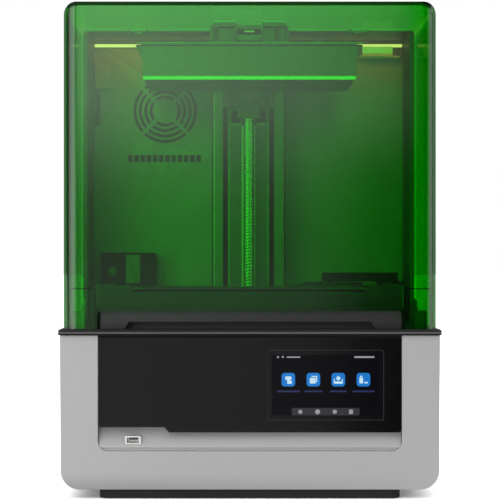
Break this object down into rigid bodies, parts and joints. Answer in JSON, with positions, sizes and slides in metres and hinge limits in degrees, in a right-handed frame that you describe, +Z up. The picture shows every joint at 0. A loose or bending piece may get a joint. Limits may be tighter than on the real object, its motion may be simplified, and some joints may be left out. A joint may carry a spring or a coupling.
{
  "type": "resin printer",
  "caption": "Desktop resin printer: grey base with a touch screen, green see-through hood hinged at the top rear, build platform on a ball-screw column, and a lift-out vat.",
  "frame": {"origin": "middle of the footprint, on the table", "axes": "+X to the right as seen from the front, +Y towards the back, +Z up"},
  "size_m": [0.53, 0.441, 0.686],
  "materials": {
    "rubber": "matte",
    "plinth_black": "fine texture",
    "base_grey": "satin powder coat",
    "rear_cover_grey": "satin powder coat",
    "bezel_grey": "satin",
    "fascia_black": "gloss",
    "screen": "polished",
    "connector_metal": "satin",
    "deck_black": "fine texture",
    "bay_dark": "fine texture",
    "guide_grey": "satin",
    "frame_black": "black coat",
    "lcd_glass": "polished",
    "circuit_board": "satin",
    "bare_aluminium": "machined",
    "supply_case": "brushed",
    "inlet_black": "satin",
    "rocker_red": "gloss",
    "fan_black": "satin",
    "motor_black": "satin",
    "column_dark": "anodised",
    "strip_grey": "anodised",
    "ground_steel": "ground",
    "nut_dark": "blackened",
    "coupler_aluminium": "turned",
    "carriage_grey": "anodised",
    "clamp_grey": "anodised",
    "lever_black": "satin",
    "platform_grey": "anodised",
    "plate_face": "bead blasted",
    "vat_metal": "anodised",
    "film_clear": "gloss",
    "knob_black": "knurled",
    "housing_grey": "fine texture",
    "housing_cover": "fine texture",
    "wall_grey": "fine texture",
    "lamp": "diffuser",
    "camera_grey": "satin",
    "filter_black": "matte",
    "hinge_steel": "satin",
    "pump_black": "fine texture",
    "feed_black": "satin",
    "hood_green": "gloss, see-through"
  },
  "bodies": {
    "base": {"foot_plinth": "plinth_black", "rubber_feet": "rubber", "base_shell": "base_grey", "base_rear_cover": "rear_cover_grey", "power_inlet": "inlet_black", "front_bezel": "bezel_grey", "front_fascia": "fascia_black", "touch_screen": "screen", "usb_port": "connector_metal", "deck_plate": "deck_black", "grip_panel": "bay_dark", "bay_surround": "bay_dark", "rear_shelf": "bay_dark", "cover_guides": "guide_grey", "lcd_frame": "frame_black", "mask_lcd": "lcd_glass", "light_engine_housing": "frame_black", "uv_led_array": "circuit_board", "heat_sink": "bare_aluminium", "mainboard": "circuit_board", "power_supply": "supply_case", "base_fan_frame": "fan_black", "chamber_fan_frame": "fan_black", "z_motor": "motor_black", "motor_bracket": "frame_black", "upper_bearing_block": "column_dark", "column_frame": "column_dark", "column_strips": "strip_grey", "linear_rails": "ground_steel", "rear_housing": "housing_grey", "housing_rear_cover": "housing_cover", "back_panel": "wall_grey", "led_bar": "lamp", "camera_module": "camera_grey", "carbon_filter": "filter_black", "hinge_base_leaves": "hinge_steel", "feed_pump": "pump_black", "feed_head": "feed_black"},
    "lid": {"cover_shell": "hood_green", "hinge_cover_leaves": "hinge_steel"},
    "z_carriage": {"carriage_block": "carriage_grey", "rail_blocks": "ground_steel", "ball_nut": "nut_dark", "carriage_bolts": "nut_dark", "platform_arm": "bare_aluminium", "clamp_receiver": "clamp_grey", "lever_pin": "nut_dark"},
    "screw": {"ball_screw": "ground_steel", "screw_coupler": "coupler_aluminium"},
    "lever": {"clamp_lever": "lever_black"},
    "platform": {"platform_cap": "platform_grey", "build_plate": "plate_face", "levelling_screws": "nut_dark"},
    "vat": {"vat_tray": "vat_metal", "film_frame": "film_clear"},
    "knob_left": {"vat_knob_left": "knob_black"},
    "knob_right": {"vat_knob_right": "knob_black"},
    "chamber_rotor": {"chamber_fan_rotor": "fan_black"},
    "base_rotor": {"base_fan_rotor": "fan_black"},
    "rocker": {"power_rocker": "rocker_red"}
  },
  "joints": [
    {"name": "lid_hinge", "type": "hinge", "parent": "base", "child": "lid", "pos_m": [0, 0.062, 0.682], "axis": [-1, 0, 0], "range_deg": [0, 82]},
    {"name": "z_slide", "type": "slide", "parent": "base", "child": "z_carriage", "axis": [0, 0, 1], "range_m": [-0.343, 0]},
    {"name": "screw_spin", "type": "hinge", "parent": "base", "child": "screw", "pos_m": [0, 0.1, 0.4], "axis": [0, 0, 1], "range_deg": [-20, 24720]},
    {"name": "clamp_lever_hinge", "type": "hinge", "parent": "z_carriage", "child": "lever", "pos_m": [0, -0.086, 0.664], "axis": [-1, 0, 0], "range_deg": [0, 90]},
    {"name": "platform_slide", "type": "slide", "parent": "z_carriage", "child": "platform", "axis": [0, -1, 0], "range_m": [0, 0.06]},
    {"name": "vat_lift", "type": "slide", "parent": "base", "child": "vat", "axis": [0, 0, 1], "range_m": [0, 0.15]},
    {"name": "knob_left_spin", "type": "hinge", "parent": "vat", "child": "knob_left", "pos_m": [-0.187, -0.03, 0.275], "axis": [0, 0, 1], "continuous": true},
    {"name": "knob_right_spin", "type": "hinge", "parent": "vat", "child": "knob_right", "pos_m": [0.187, -0.03, 0.275], "axis": [0, 0, 1], "continuous": true},
    {"name": "chamber_fan_spin", "type": "hinge", "parent": "base", "child": "chamber_rotor", "pos_m": [-0.1338, 0.186, 0.5687], "axis": [0, 1, 0], "continuous": true},
    {"name": "base_fan_spin", "type": "hinge", "parent": "base", "child": "base_rotor", "pos_m": [-0.15, 0.2, 0.12], "axis": [0, 1, 0], "continuous": true},
    {"name": "power_rocker_tilt", "type": "hinge", "parent": "base", "child": "rocker", "pos_m": [0.112, 0.212, 0.07], "axis": [1, 0, 0], "range_deg": [0, 12]}
  ],
  "couplings": [
    {"joint": "screw_spin", "follows": "z_slide", "rad_per_m": -1256.6}
  ]
}
